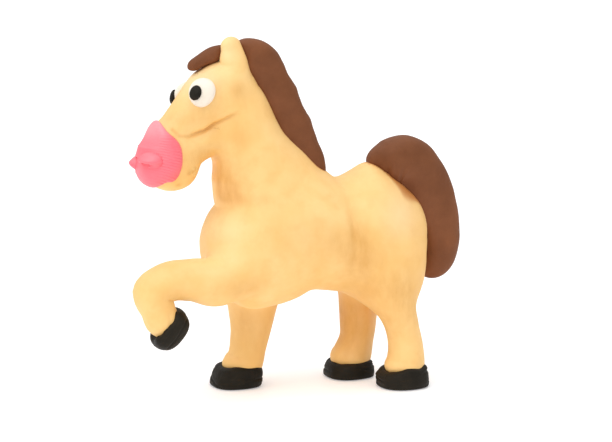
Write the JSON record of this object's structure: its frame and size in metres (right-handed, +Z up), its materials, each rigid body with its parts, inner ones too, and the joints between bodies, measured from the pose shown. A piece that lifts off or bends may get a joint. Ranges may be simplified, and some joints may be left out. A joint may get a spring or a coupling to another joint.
{
  "type": "clay horse figure",
  "caption": "Small hand-modelled clay horse that stands with its left foreleg raised, with a pink muzzle, round eyes and a brown mane and tail.",
  "frame": {"origin": "on the floor, under the middle of the figure's outline box", "axes": "+Z up, the horse faces -X, its left side is towards -Y"},
  "size_m": [0.07, 0.0232, 0.0713],
  "materials": {
    "clay_yellow": "oil-based modelling clay, matt with a soft waxy bloom, smudged by fingers",
    "clay_brown": "oil-based modelling clay, matt",
    "clay_pink": "oil-based modelling clay, matt, with fingerprint ridges",
    "clay_black": "oil-based modelling clay, matt, kneaded and wrinkled",
    "clay_white": "oil-based modelling clay, smooth, slightly grey where it was touched",
    "stick_wood": "bare birch cocktail stick"
  },
  "bodies": {
    "root": {"torso": "clay_yellow", "neck": "clay_yellow", "cranium": "clay_yellow", "jaw": "clay_yellow", "ear_left": "clay_yellow", "ear_right": "clay_yellow", "forelock": "clay_brown", "mane": "clay_brown", "muzzle_cap": "clay_pink", "nostril_left": "clay_pink", "nostril_right": "clay_pink", "eye_left": "clay_white", "eye_right": "clay_white", "pupil_left": "clay_black", "pupil_right": "clay_black", "tail": "clay_brown", "foreleg_left": "clay_yellow", "foreleg_right": "clay_yellow", "hind_leg_left": "clay_yellow", "hind_leg_right": "clay_yellow", "hoof_fore_left": "clay_black", "hoof_fore_right": "clay_black", "hoof_hind_left": "clay_black", "hoof_hind_right": "clay_black", "neck_stick": "stick_wood", "foreleg_left_stick": "stick_wood", "foreleg_right_stick": "stick_wood", "hind_leg_left_stick": "stick_wood", "hind_leg_right_stick": "stick_wood"}
  },
  "joints": []
}
